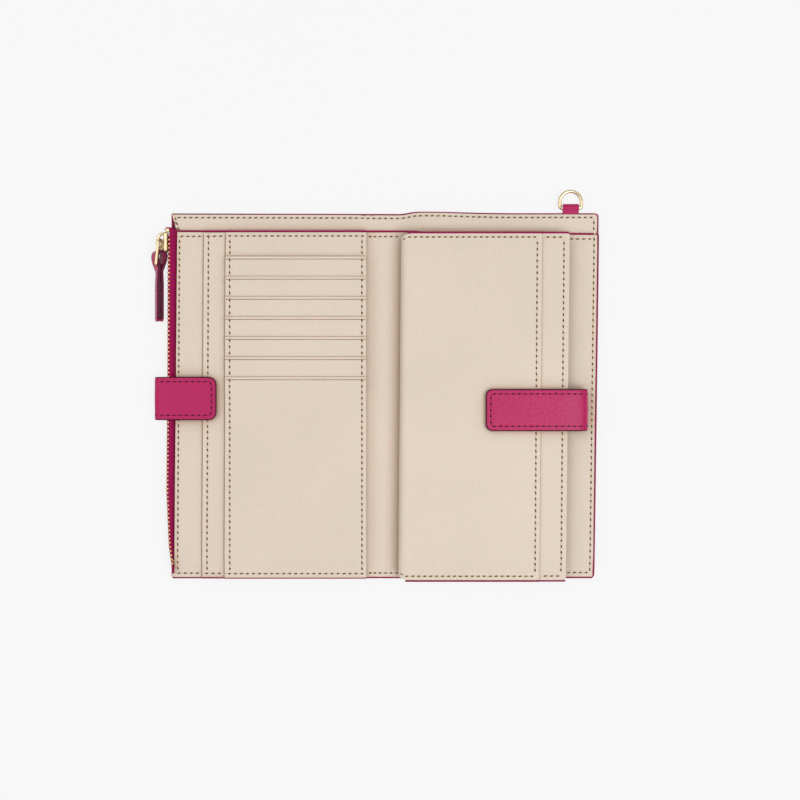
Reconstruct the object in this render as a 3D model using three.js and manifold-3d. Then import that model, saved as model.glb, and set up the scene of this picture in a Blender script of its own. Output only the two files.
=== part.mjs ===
// Wristlet wallet lying open, inside up. Units are millimetres.
// X runs across the open wallet, Y up its long sides, +Z up from the surface it lies on.
// The origin is under the middle of the spine. Every piece is its own closed solid.
import * as THREE from 'three';
import { mergeVertices } from 'three/addons/utils/BufferGeometryUtils.js';
import Module from 'manifold-3d';

const wasm = await Module();
wasm.setup();

// ---------------------------------------------------------------- driving sizes

const GAP = 0.15; // clearance left between neighbouring pieces

const bottom = -82.5; // lower edge of the cover and of every inner panel
const coverTop = 82.5;
const baseTopLeft = 74.0;
const baseTopRight = 73.2;
const foldX = 6.9; // the two fold lines stand this far either side of the middle

// Side edges lean a little, so each is given as [x at the bottom, x at the top].
const leftEdge = -95.8;
const rightEdge = [95.8, 97.9];
const baseLeftEdge = [-94.2, -92.8];
const slipEdge = [-81.6, -80.8];
const cardEdge = [-71.4, -70.8];
const cardRight = -7.3;

// Heights of the layers as [underside, upper side].
const layers = {
  cover: [0, 1.1],
  stiffener: [1.15, 1.45],
  zipLining: [1.5, 1.75],
  backWallLeft: [1.9, 2.5],
  backWallSpine: [1.2, 1.7],
  backWallRight: [1.6, 2.2],
  baseLeft: [3.0, 3.7],
  baseSpine: [1.9, 2.55],
  baseRight: [2.3, 3.0],
  slip: [3.8, 4.3],
  card: [4.4, 4.9],
  leafBack: [7.8, 8.3],
  leafMiddle: [8.4, 8.9],
  leafFront: [9.0, 9.5],
};

const slots = { count: 7, firstMouth: 62.7, pitch: 9.04, tuck: 3, ply: 0.4, rest: 4.95, lift: 0.6 };

const leaf = {
  left: [6.95, 8.25],
  bottom: -82.8,
  top: 72.9,
  frontRight: [70.0, 71.4],
  middleRight: [82.0, 83.7],
  corner: 3.2,
  rollWidth: 1.8,
};

const strapThickness = 1.4;
const strapBaseThickness = 0.5;
const snapRadius = 5.5;
const snapSocketX = 86; // on the outside of the right cover
const tapeSewnX = -88; // the zip tapes reach this far under the base panel

// The closure strap comes from under the left cover, round the zip, onto the inside.
const closure = {
  low: -10.9, high: 8.4, bendX: -98.75, bendOuter: 3.35,
  baseEnd: -62, wrapEnd: -93.5, tip: -74.7, snapX: -80.6,
};

// The pocket strap comes up from the right base panel, round the leaf's open edge.
const pocket = {
  low: -15.7, high: 2.6, bendX: 86.45, bendOuter: 4.25, bendZ: 7.35,
  baseEnd: 70, wrapEnd: 83.3, tip: 46.6, snapX: 53.5,
};

const zip = {
  z: 3.35, pitch: 1.87, low: -76, high: 73.4, halfWidth: 1.8, outerX: -97.7, innerX: -96.2,
  toothWidth: 0.8, toothReach: 0.3, cord: 0.6, sliderLow: 64.8, sliderHigh: 73.8,
};

const pull = {
  pivotY: 70.2, x: -100.35, thickness: 1.1, halfWidth: 3.2, end: 58.5, rail: 0.9,
  strapHalfWidth: 2.2, strapX: -100.85, strapEnd: 33.6, loopRadius: 2.95, loopLength: 4.4, loopY: 60.4,
};

const ring = {
  x: 85.1, barY: 85.0, archY: 87.7, z: 1.9, archRadius: 4.87, wire: 0.72,
  loopHalf: 3.6, tailEnd: 78, tailHeights: [0.75, 1.45],
};

// ---------------------------------------------------------------- materials

const finishes = {
  fuchsia: { color: 0xa8235f, roughness: 0.5, metalness: 0 },
  cream: { color: 0xdccdb8, roughness: 0.55, metalness: 0 },
  board: { color: 0x9a8a72, roughness: 0.9, metalness: 0 },
  lining: { color: 0xc9b79c, roughness: 0.9, metalness: 0 },
  tape: { color: 0x9a2058, roughness: 0.85, metalness: 0 },
  gold: { color: 0xd8b56a, roughness: 0.25, metalness: 1 },
};

// ---------------------------------------------------------------- shape helpers

// A closed outline through corners [x, y, radius]; each corner is rounded by its radius.
function roundedShape(corners) {
  const shape = new THREE.Shape();
  const points = corners.map(([x, y]) => new THREE.Vector2(x, y));
  points.forEach((corner, index) => {
    const before = points[(index + points.length - 1) % points.length];
    const after = points[(index + 1) % points.length];
    const size = corners[index][2] ?? 0;
    const entry = corner.clone().add(before.clone().sub(corner).setLength(size));
    const exit = corner.clone().add(after.clone().sub(corner).setLength(size));
    if (index === 0) shape.moveTo(entry.x, entry.y);
    else shape.lineTo(entry.x, entry.y);
    if (size > 0) shape.quadraticCurveTo(corner.x, corner.y, exit.x, exit.y);
  });
  shape.closePath();
  return shape;
}

function extrude(shape, depth, curveSegments = 4) {
  return new THREE.ExtrudeGeometry(shape, { depth, bevelEnabled: false, curveSegments });
}

// A flat sheet with an outline in X and Y, between two heights.
function sheet(shape, [under, upper]) {
  return extrude(shape, upper - under).translate(0, 0, under);
}

// An edge that does not lean.
function upright(x) {
  return [x, x];
}

// A four-sided sheet whose left and right edges may lean: each is [x low, x high].
function panel([leftLow, leftHigh], [rightLow, rightHigh], low, high, heights, radii = [0, 0, 0, 0]) {
  const shape = roundedShape([
    [leftLow, low, radii[0]],
    [rightLow, low, radii[1]],
    [rightHigh, high, radii[2]],
    [leftHigh, high, radii[3]],
  ]);
  return sheet(shape, heights);
}

function block([x0, x1], [y0, y1], [z0, z1]) {
  const box = new THREE.BoxGeometry(x1 - x0, y1 - y0, z1 - z0);
  return box.translate((x0 + x1) / 2, (y0 + y1) / 2, (z0 + z1) / 2);
}

// A section drawn in X and Z, run along Y between two ends.
function alongY(section, [low, high], curveSegments = 10) {
  return extrude(section, high - low, curveSegments).rotateX(Math.PI / 2).translate(0, high, 0);
}

// A section drawn in Y and Z, run along X between two ends.
function alongX(section, [low, high], curveSegments = 10) {
  const turn = new THREE.Matrix4().makeBasis(
    new THREE.Vector3(0, 1, 0),
    new THREE.Vector3(0, 0, 1),
    new THREE.Vector3(1, 0, 0),
  );
  return extrude(section, high - low, curveSegments).applyMatrix4(turn).translate(low, 0, 0);
}

function disc(x, y, radius, [under, upper]) {
  return new THREE.CylinderGeometry(radius, radius, upper - under, 32)
    .rotateX(Math.PI / 2)
    .translate(x, y, (under + upper) / 2);
}

function toManifold(geometry) {
  const bare = geometry.clone();
  bare.deleteAttribute('normal');
  bare.deleteAttribute('uv');
  const merged = mergeVertices(bare, 1e-4);
  return new wasm.Manifold(new wasm.Mesh({
    numProp: 3,
    vertProperties: new Float32Array(merged.attributes.position.array),
    triVerts: new Uint32Array(merged.index.array),
  }));
}

function fromManifold(solid) {
  const mesh = solid.getMesh();
  const geometry = new THREE.BufferGeometry();
  geometry.setAttribute('position', new THREE.BufferAttribute(new Float32Array(mesh.vertProperties), 3));
  geometry.setIndex(new THREE.BufferAttribute(new Uint32Array(mesh.triVerts), 1));
  geometry.computeVertexNormals();
  return geometry;
}

function cut(body, ...tools) {
  return fromManifold(tools.reduce((solid, tool) => solid.subtract(toManifold(tool)), toManifold(body)));
}

function join(...pieces) {
  const solids = pieces.map(toManifold);
  return fromManifold(solids.slice(1).reduce((sum, solid) => sum.add(solid), solids[0]));
}

const wallet = new THREE.Group();
wallet.name = 'wristlet_wallet';

function addPiece(name, geometry, finish) {
  const mesh = new THREE.Mesh(geometry, new THREE.MeshStandardMaterial(finishes[finish]));
  mesh.name = name;
  wallet.add(mesh);
}

// ---------------------------------------------------------------- cover

function addCover() {
  const strapRecess = block(
    [leftEdge - 1, closure.baseEnd + GAP],
    [closure.low - GAP, closure.high + GAP],
    [-1, strapBaseThickness + 0.05],
  );
  const left = panel([leftEdge, leftEdge], upright(-foldX - GAP), bottom, coverTop, layers.cover);
  addPiece('cover_left', cut(left, strapRecess), 'fuchsia');

  const spineEdges = [upright(-foldX + GAP), upright(foldX - GAP)];
  const spine = panel(...spineEdges, bottom, coverTop, layers.cover);
  addPiece('cover_spine', spine, 'fuchsia');

  const right = panel(upright(foldX + GAP), rightEdge, bottom, coverTop, layers.cover, [0, 1.5, 1.8, 0]);
  const snapY = (closure.low + closure.high) / 2;
  const socketRecess = disc(snapSocketX, snapY, snapRadius + GAP, [-1, 0.55]);
  const tailRecess = block(
    [ring.x - ring.loopHalf - GAP, ring.x + ring.loopHalf + GAP],
    [ring.tailEnd - 0.5, coverTop + 1],
    [ring.tailHeights[0] - 0.05, layers.cover[1] + 1],
  );
  addPiece('cover_right', cut(right, socketRecess, tailRecess), 'fuchsia');
  addPiece('closure_snap_socket', disc(snapSocketX, snapY, snapRadius, [0, 0.5]), 'gold');
}

function addHiddenLayers() {
  const inset = 4;
  const height = [bottom + inset, coverTop - inset];
  const clearOfTapes = tapeSewnX + 1;
  addPiece('stiffener_left', block([clearOfTapes, -foldX - 1], height, layers.stiffener), 'board');
  addPiece('zip_pocket_lining', block([clearOfTapes, -foldX - 5.1], height, layers.zipLining), 'lining');
  const clearOfRing = ring.x - ring.loopHalf - 2;
  addPiece('stiffener_right', block([foldX + 1, clearOfRing], height, layers.stiffener), 'board');
}

// ---------------------------------------------------------------- inner panels

function addInnerPanels() {
  const foldLeft = upright(-foldX - GAP);
  const foldRight = upright(foldX + GAP);
  const spineLeft = upright(-foldX + GAP);
  const spineRight = upright(foldX - GAP);
  const wallTop = coverTop - 0.4;
  const zipSide = [-93.6, -95.0];
  addPiece('back_wall_left', panel(zipSide, foldLeft, bottom, wallTop, layers.backWallLeft), 'cream');
  addPiece('back_wall_spine', panel(spineLeft, spineRight, bottom, wallTop, layers.backWallSpine), 'cream');
  addPiece('base_panel_left', panel(baseLeftEdge, foldLeft, bottom, baseTopLeft, layers.baseLeft), 'cream');
  addPiece('base_panel_spine', panel(spineLeft, spineRight, bottom, baseTopLeft, layers.baseSpine), 'cream');

  const rounded = [0, 1.5, 1.8, 0];
  const wallRight = panel(foldRight, rightEdge, bottom, wallTop, layers.backWallRight, rounded);
  addPiece('back_wall_right', wallRight, 'cream');
  const baseRight = [rightEdge[0], 97.78];
  addPiece('base_panel_right', panel(foldRight, baseRight, bottom, baseTopRight, layers.baseRight), 'cream');
  addPiece('slip_panel', panel(slipEdge, upright(cardRight), bottom, baseTopLeft, layers.slip), 'cream');
  addPiece('card_panel', panel(cardEdge, upright(cardRight), bottom, baseTopLeft, layers.card), 'cream');
}

// Each slot ply lies on the one above it and dips under the mouth of the next.
function addCardSlots() {
  const { count, firstMouth, pitch, tuck, ply, rest, lift } = slots;
  const run = pitch + tuck;
  const xRange = [cardEdge[1] + 0.2, cardRight - 0.2];
  for (let index = 0; index < count; index += 1) {
    const mouth = firstMouth - index * pitch;
    const section = new THREE.Shape();
    const isLast = index === count - 1;
    section.moveTo(mouth, rest + lift);
    section.lineTo(mouth, rest + lift + ply);
    section.lineTo(mouth - run, rest + ply);
    if (isLast) section.lineTo(bottom, rest + ply);
    if (isLast) section.lineTo(bottom, rest);
    section.lineTo(mouth - run, rest);
    section.closePath();
    addPiece(`card_slot_${index + 1}`, alongX(section, xRange), 'cream');
  }
}

// ---------------------------------------------------------------- straps

// A strap bent back on itself: a half ring with straight ends at the bottom and the top.
function bentStrap(centreX, centreZ, outer, bottomEnd, topEnd, turnsLeft) {
  const inner = outer - strapThickness;
  const down = -Math.PI / 2;
  const up = Math.PI / 2;
  const section = new THREE.Shape();
  section.moveTo(bottomEnd, centreZ - outer);
  section.absarc(centreX, centreZ, outer, down, up, turnsLeft);
  section.lineTo(topEnd, centreZ + outer);
  section.lineTo(topEnd, centreZ + inner);
  section.absarc(centreX, centreZ, inner, up, down, !turnsLeft);
  section.lineTo(bottomEnd, centreZ - inner);
  section.closePath();
  return section;
}

function addClosureStrap() {
  const width = [closure.low, closure.high];
  const centreY = (closure.low + closure.high) / 2;
  const top = zip.z + closure.bendOuter;
  const base = block([leftEdge + GAP, closure.baseEnd], width, [0, strapBaseThickness]);
  addPiece('closure_tab_base', base, 'fuchsia');

  const section = bentStrap(closure.bendX, zip.z, closure.bendOuter, leftEdge - 0.35, closure.wrapEnd, true);
  addPiece('closure_tab_wrap', alongY(section, width, 12), 'fuchsia');

  const tip = roundedShape([
    [closure.wrapEnd + 0.1, closure.low],
    [closure.tip, closure.low, 3.6],
    [closure.tip, closure.high, 3.6],
    [closure.wrapEnd + 0.1, closure.high],
  ]);
  addPiece('closure_tab_end', sheet(tip, [top - strapThickness, top]), 'fuchsia');
  const snap = disc(closure.snapX, centreY, snapRadius, [layers.slip[1] + 0.1, top - strapThickness - 0.02]);
  addPiece('closure_snap_cap', snap, 'gold');
}

function addPocketStrap() {
  const { bendX, bendZ, bendOuter, wrapEnd } = pocket;
  const width = [pocket.low, pocket.high];
  const centreY = (pocket.low + pocket.high) / 2;
  const top = bendZ + bendOuter;
  const base = block([pocket.baseEnd, bendX - GAP], width, [layers.baseRight[1] + 0.05, 3.6]);
  addPiece('pocket_tab_base', base, 'fuchsia');

  const section = bentStrap(bendX, bendZ, bendOuter, bendX, wrapEnd, false);
  addPiece('pocket_tab_wrap', alongY(section, width, 12), 'fuchsia');

  const tip = roundedShape([
    [pocket.tip, pocket.low, 2.7],
    [wrapEnd - 0.1, pocket.low],
    [wrapEnd - 0.1, pocket.high],
    [pocket.tip, pocket.high, 2.7],
  ]);
  addPiece('pocket_tab_end', sheet(tip, [top - strapThickness, top]), 'fuchsia');
  const leafTop = layers.leafFront[1];
  const snap = (under, upper) => disc(pocket.snapX, centreY, snapRadius, [leafTop + under, leafTop + upper]);
  addPiece('pocket_snap_stud', snap(0.03, 0.33), 'gold');
  addPiece('pocket_snap_cap', snap(0.38, 0.68), 'gold');
}

// ---------------------------------------------------------------- leaf over the phone compartment

function addLeaf() {
  const { left, bottom: low, top: high, corner, rollWidth } = leaf;
  const plyLeft = left.map((x) => x + rollWidth + 0.1);
  const round = [corner, 1.2, 1.2, corner];
  addPiece('leaf_back', panel(plyLeft, leaf.middleRight, low, high, layers.leafBack, round), 'lining');
  addPiece('leaf_middle', panel(plyLeft, leaf.middleRight, low, high, layers.leafMiddle, round), 'cream');
  addPiece('leaf_front', panel(plyLeft, leaf.frontRight, low, high, layers.leafFront, round), 'cream');

  const rollRight = left.map((x) => x + rollWidth);
  const rollHeights = [layers.leafBack[0] - 0.1, layers.leafFront[1] + 0.1];
  const roll = panel(left, rollRight, low + 1.4, high - 1.4, rollHeights, [0.8, 0.1, 0.1, 0.8]);
  addPiece('leaf_roll', roll, 'cream');
}

function addGussets() {
  const heights = [layers.baseRight[1] + 0.05, layers.leafBack[0] - 0.15];
  const wall = 0.8;
  const sides = [leaf.left[1] + 1, leaf.middleRight[0] - 2];
  const top = leaf.top - 1.4;
  const foot = bottom + 0.6;
  addPiece('gusset_top', block(sides, [top - wall, top], heights), 'lining');
  addPiece('gusset_bottom', block(sides, [foot, foot + wall], heights), 'lining');
  const behind = [sides[0] - 1.1, sides[0] - 0.1];
  addPiece('gusset_left', block(behind, [foot + 1.4, top - 1.1], heights), 'lining');
}

// ---------------------------------------------------------------- zip

// One half of the tooth chain: a cord with teeth reaching just past the middle line.
function chainSection(side, offset) {
  const { z, pitch, low, high, halfWidth, toothWidth, toothReach, cord } = zip;
  const outer = z + side * halfWidth;
  const root = outer - side * cord;
  const toothEnd = z - side * toothReach;
  const section = new THREE.Shape();
  section.moveTo(low, outer);
  section.lineTo(low, root);
  const count = Math.floor((high - low - 2) / pitch);
  for (let index = 0; index < count; index += 1) {
    const start = low + 0.5 + offset + index * pitch;
    section.lineTo(start, root);
    section.lineTo(start, toothEnd);
    section.lineTo(start + toothWidth, toothEnd);
    section.lineTo(start + toothWidth, root);
  }
  section.lineTo(high, root);
  section.lineTo(high, outer);
  section.closePath();
  return section;
}

function addZipChain() {
  const depth = [zip.outerX, zip.innerX];
  addPiece('zip_chain_upper', alongX(chainSection(1, 0), depth), 'gold');
  addPiece('zip_chain_lower', alongX(chainSection(-1, zip.pitch / 2), depth), 'gold');
  const stopZ = [zip.z - zip.halfWidth, zip.z + zip.halfWidth];
  addPiece('zip_top_stop', block(depth, [zip.high + 0.6, zip.high + 1.8], stopZ), 'gold');
  addPiece('zip_bottom_stop', block(depth, [zip.low - 1.8, zip.low - 0.4], stopZ), 'gold');
}

// The tapes run from the chain onto the cover and under the base panel's edge.
function addZipTapes() {
  const run = [bottom + 1, 75.2];
  const seam = zip.innerX + 0.1;
  const [, wallTop] = layers.backWallLeft;
  const upper = new THREE.Shape();
  upper.moveTo(seam, 4.75);
  upper.quadraticCurveTo(seam + 1.0, 4.6, seam + 1.1, wallTop + 0.1);
  upper.lineTo(tapeSewnX, wallTop + 0.1);
  upper.lineTo(tapeSewnX, wallTop + 0.4);
  upper.lineTo(seam + 1.6, wallTop + 0.4);
  upper.quadraticCurveTo(seam + 1.3, 5.0, seam, 5.1);
  upper.closePath();
  addPiece('zip_tape_upper', alongY(upper, run, 6), 'tape');

  const lower = new THREE.Shape();
  lower.moveTo(seam, 1.2);
  lower.lineTo(tapeSewnX, 1.2);
  lower.lineTo(tapeSewnX, 1.5);
  lower.lineTo(seam + 0.4, 1.5);
  lower.lineTo(seam + 0.4, 2.0);
  lower.lineTo(seam, 2.0);
  lower.closePath();
  addPiece('zip_tape_lower', alongY(lower, run), 'tape');
}

// The slider is a channel over the chain; its bridge is a bow that holds the pull.
function addZipSlider() {
  const { z, sliderLow, sliderHigh } = zip;
  const face = zip.outerX - GAP;
  const outer = face - 0.75;
  const half = 2.8;
  const plate = 0.85;
  const lip = face + 0.95;
  const channel = new THREE.Shape();
  channel.moveTo(outer, z - half);
  channel.lineTo(lip, z - half);
  channel.lineTo(lip, z - half + plate);
  channel.lineTo(face, z - half + plate);
  channel.lineTo(face, z + half - plate);
  channel.lineTo(lip, z + half - plate);
  channel.lineTo(lip, z + half);
  channel.lineTo(outer, z + half);
  channel.closePath();
  addPiece('zip_slider', alongY(channel, [sliderLow, sliderHigh]), 'gold');

  const wire = 1.0;
  const reach = pull.x - 0.95 - wire;
  const legs = [sliderLow + 0.4, sliderHigh - 0.1];
  const foot = outer - 0.05;
  const bow = roundedShape([
    [foot, legs[0]],
    [foot, legs[0] + wire],
    [reach + wire, legs[0] + wire, 1.2],
    [reach + wire, legs[1] - wire, 1.2],
    [foot, legs[1] - wire],
    [foot, legs[1]],
    [reach, legs[1], 2],
    [reach, legs[0], 2],
  ]);
  addPiece('zip_bridge', sheet(bow, [z - 0.6, z + 0.6]), 'gold');
}

// A rounded rectangle in Y and Z, centred on the zip's height.
function roundedShapeYZ([low, high], half, radius) {
  return roundedShape([
    [low, zip.z - half, radius],
    [high, zip.z - half, radius],
    [high, zip.z + half, radius],
    [low, zip.z + half, radius],
  ]);
}

function addPullLink() {
  const { pivotY, x, thickness, halfWidth, end, rail } = pull;
  const frame = roundedShapeYZ([end, pivotY + 0.75], halfWidth, 1.4);
  const eye = roundedShapeYZ([end + 1.3, pivotY - 0.75], halfWidth - rail, 0.6);
  frame.holes.push(eye);
  addPiece('zip_pull_plate', alongX(frame, [x - thickness / 2, x + thickness / 2], 3), 'gold');
}

// The leather pull seen from above: two plies side by side that part round an open eye.
function addPullStrap() {
  const { strapHalfWidth, strapX, strapEnd, loopRadius, loopLength, loopY } = pull;
  const heights = [zip.z - strapHalfWidth, zip.z + strapHalfWidth];
  const half = 1.85;
  const neck = 1.3;
  const neckStart = 54.5;
  const tail = roundedShape([
    [strapX - half, strapEnd, 1],
    [strapX + half, strapEnd, 1],
    [strapX + half, neckStart],
    [strapX + neck, loopY - 3.2],
    [strapX - neck, loopY - 3.2],
    [strapX - half, neckStart],
  ]);
  const loop = new THREE.Shape();
  loop.absellipse(strapX, loopY, loopRadius, loopLength, 0, Math.PI * 2);
  const ply = 1.35;
  const hollow = new THREE.Path();
  hollow.absellipse(strapX, loopY - 0.2, loopRadius - ply, loopLength - 1.1, 0, Math.PI * 2);
  const eye = new THREE.Shape(hollow.getPoints(8));
  const solid = join(sheet(tail, heights), extrude(loop, 2 * strapHalfWidth, 8).translate(0, 0, heights[0]));
  addPiece('zip_pull_leather', cut(solid, extrude(eye, 10, 8).translate(0, 0, -1)), 'fuchsia');
}

// ---------------------------------------------------------------- strap ring

function ringPath() {
  const { x, barY, archY, z, archRadius } = ring;
  const corner = 1.2;
  const points = [];
  const addPoint = (offset, y) => points.push(new THREE.Vector3(x + offset, y, z));
  const arcSteps = 12;
  for (let step = 0; step <= arcSteps; step += 1) {
    const angle = (Math.PI * step) / arcSteps;
    addPoint(archRadius * Math.cos(angle), archY + archRadius * Math.sin(angle));
  }
  for (const side of [-1, 1]) {
    const turn = [
      [archRadius, barY + corner],
      [archRadius - corner * 0.3, barY + corner * 0.3],
      [archRadius - corner, barY],
    ];
    if (side > 0) turn.reverse();
    turn.forEach(([offset, y]) => addPoint(side * offset, y));
    if (side < 0) [-2, 0, 2].forEach((offset) => addPoint(offset, barY));
  }
  return new THREE.CatmullRomCurve3(points, true, 'centripetal');
}

function addRing() {
  addPiece('d_ring', new THREE.TubeGeometry(ringPath(), 60, ring.wire, 12, true), 'gold');

  const { barY, z, wire } = ring;
  const loopInner = wire + 0.13;
  const loopOuter = loopInner + 0.9;
  const eye = new THREE.Shape();
  eye.absarc(barY, z, loopOuter, 0, Math.PI * 2);
  const hole = new THREE.Shape();
  hole.absarc(barY, z, loopInner, 0, Math.PI * 2);
  const width = [ring.x - ring.loopHalf, ring.x + ring.loopHalf];
  const tail = block(width, [ring.tailEnd, barY], ring.tailHeights);
  const solid = join(alongX(eye, width, 12), tail);
  addPiece('d_ring_loop', cut(solid, alongX(hole, [width[0] - 1, width[1] + 1], 12)), 'fuchsia');
}

addCover();
addHiddenLayers();
addInnerPanels();
addCardSlots();
addClosureStrap();
addPocketStrap();
addLeaf();
addGussets();
addZipChain();
addZipTapes();
addZipSlider();
addPullLink();
addPullStrap();
addRing();

export default wallet;
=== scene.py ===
# Wristlet wallet lying open: the looks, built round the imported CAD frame.
# Lengths in the tables and helpers are millimetres; meshes are written in metres.
import math

import bmesh
import bpy
import numpy as np
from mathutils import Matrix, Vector


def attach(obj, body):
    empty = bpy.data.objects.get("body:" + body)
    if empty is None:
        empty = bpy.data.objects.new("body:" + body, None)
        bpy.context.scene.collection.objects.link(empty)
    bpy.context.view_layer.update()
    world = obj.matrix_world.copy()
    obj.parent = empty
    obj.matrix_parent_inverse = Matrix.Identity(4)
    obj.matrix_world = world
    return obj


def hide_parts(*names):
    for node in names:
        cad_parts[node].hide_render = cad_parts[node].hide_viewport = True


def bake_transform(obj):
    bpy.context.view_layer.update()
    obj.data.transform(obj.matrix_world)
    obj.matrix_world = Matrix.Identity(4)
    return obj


MM = 0.001
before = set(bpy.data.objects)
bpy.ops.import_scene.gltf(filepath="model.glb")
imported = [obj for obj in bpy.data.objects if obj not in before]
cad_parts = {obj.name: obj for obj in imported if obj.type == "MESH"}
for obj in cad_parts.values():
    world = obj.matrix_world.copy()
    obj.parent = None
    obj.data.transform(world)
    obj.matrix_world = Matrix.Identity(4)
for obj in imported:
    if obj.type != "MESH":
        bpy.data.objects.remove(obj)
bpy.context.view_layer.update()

# ---------------------------------------------------------------- sizes

BOTTOM = -82.5
FOLD = 6.9
FOLD_REACH = 2.6  # half the width of the strip that bends at each fold line

# upper faces of the layers
Z_COVER = 1.1
Z_WALL_LEFT, Z_WALL_SPINE, Z_WALL_RIGHT = 2.5, 1.7, 2.2
Z_BASE_LEFT, Z_BASE_SPINE, Z_BASE_RIGHT = 3.7, 2.55, 3.0
Z_SLIP, Z_CARD = 4.3, 4.9
Z_LEAF_BACK, Z_LEAF_MIDDLE, Z_LEAF_FRONT = 8.3, 8.9, 9.5

COVER_TOP = 82.5
BASE_TOP_LEFT = 74.0
PANEL_TOP = 74.1
LEAF_BOTTOM, LEAF_TOP = -82.8, 72.9
CARD_RIGHT = -7.3

# side edges as (x at the bottom, x at the top)
COVER_LEFT = (-95.8, -95.8)
COVER_RIGHT = (95.8, 97.9)
BASE_LEFT = (-94.2, -92.8)
SLIP_LEFT = (-81.6, -80.8)
CARD_LEFT = (-71.4, -70.8)
LEAF_LEFT = (6.95, 8.25)
LEAF_FRONT_RIGHT = (70.0, 71.4)
LEAF_MIDDLE_RIGHT = (82.0, 83.7)

STRAP = 1.4
ZIP_Z = 3.35


def lean(edge, y):
    """x of a leaning side edge at height y."""
    t = (y - BOTTOM) / (BASE_TOP_LEFT - BOTTOM)
    return edge[0] + (edge[1] - edge[0]) * t


def smooth(value, low, high):
    t = min(1.0, max(0.0, (value - low) / (high - low)))
    return t * t * (3 - 2 * t)


def rim(x):
    """Upper edge of the cover: nearly straight, with one soft rise beside the spine."""
    if x < 7.4:
        return 82.67 - 0.27 * (x + 95.8) / 103.2
    return 82.4 + 1.0 * smooth(x, 7.4, 15.5) - 0.64 * smooth(x, 16, 60)


# ---------------------------------------------------------------- materials


def srgb(red, green, blue):
    def linear(value):
        value /= 255
        return value / 12.92 if value <= 0.04045 else ((value + 0.055) / 1.055) ** 2.4
    return (linear(red), linear(green), linear(blue), 1.0)


def shade(color, factor):
    return tuple(channel * factor for channel in color[:3]) + (1.0,)


WHITE = (1, 1, 1, 1)


class Nodes:
    """A short way to add and link shader nodes in one material."""

    def __init__(self, name):
        self.material = bpy.data.materials.new(name)
        self.material.use_nodes = True
        self.tree = self.material.node_tree
        self.shader = self.tree.nodes["Principled BSDF"]
        self.coords = self.add("ShaderNodeTexCoord").outputs["Object"]

    def add(self, kind, **settings):
        """Adds a node. Capitalised settings are input values, the others are its own properties."""
        node = self.tree.nodes.new(kind)
        for key, value in settings.items():
            if key[0].isupper():
                node.inputs[key.replace("_", " ")].default_value = value
            else:
                setattr(node, key, value)
        return node

    def link(self, source, target):
        self.tree.links.new(source, target)

    def feed(self, value, socket):
        """Sets a plain number on a socket, or links another node's output to it."""
        if isinstance(value, (int, float)):
            socket.default_value = value
        else:
            self.link(value, socket)

    def noise(self, scale, detail=3.0, stretch=None):
        node = self.add("ShaderNodeTexNoise", Scale=scale, Detail=detail)
        self.link(self.stretched(stretch), node.inputs["Vector"])
        return node.outputs["Fac"]

    def cells(self, scale):
        node = self.add("ShaderNodeTexVoronoi", feature="SMOOTH_F1", Scale=scale, Randomness=1.0)
        self.link(self.coords, node.inputs["Vector"])
        return node.outputs["Distance"]

    def wave(self, scale, direction, distortion=0.0):
        node = self.add("ShaderNodeTexWave", bands_direction=direction, Scale=scale, Distortion=distortion)
        self.link(self.coords, node.inputs["Vector"])
        return node.outputs["Fac"]

    def occlusion(self, distance):
        """How open the surface is: 1 in the open, less in folds and beside raised edges."""
        return self.add("ShaderNodeAmbientOcclusion", samples=12, Distance=distance).outputs["AO"]

    def stretched(self, stretch):
        if stretch is None:
            return self.coords
        mapping = self.add("ShaderNodeMapping", Scale=stretch)
        self.link(self.coords, mapping.inputs["Vector"])
        return mapping.outputs["Vector"]

    def ramp(self, source, stops):
        node = self.add("ShaderNodeValToRGB")
        elements = node.color_ramp.elements
        while len(elements) < len(stops):
            elements.new(0.5)
        for element, (position, color) in zip(elements, stops):
            element.position = position
            element.color = color
        self.link(source, node.inputs["Fac"])
        return node.outputs["Color"]

    def multiply(self, factor, first, second):
        """Multiplies two colours; factor is how strongly the second one acts."""
        node = self.add("ShaderNodeMix", data_type="RGBA", blend_type="MULTIPLY")
        for value, index in ((factor, 0), (first, 6), (second, 7)):
            self.feed(value, node.inputs[index])
        return node.outputs[2]

    def spread(self, source, low, high):
        """Spreads the middle of a pattern's range over low to high."""
        node = self.add("ShaderNodeMapRange", From_Min=0.3, From_Max=0.7, To_Min=low, To_Max=high)
        self.link(source, node.inputs["Value"])
        return node.outputs["Result"]

    def math(self, operation, first, second):
        node = self.add("ShaderNodeMath", operation=operation)
        self.feed(first, node.inputs[0])
        self.feed(second, node.inputs[1])
        return node.outputs[0]

    def bump(self, height, strength, distance, under=None):
        node = self.add("ShaderNodeBump", Strength=strength, Distance=distance)
        self.link(height, node.inputs["Height"])
        if under is not None:
            self.link(under, node.inputs["Normal"])
        return node.outputs["Normal"]

    def finish(self, color, roughness, normal, **constants):
        self.link(color, self.shader.inputs["Base Color"])
        self.link(roughness, self.shader.inputs["Roughness"])
        self.link(normal, self.shader.inputs["Normal"])
        for name, value in constants.items():
            self.shader.inputs[name.replace("_", " ")].default_value = value
        return self.material


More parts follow.
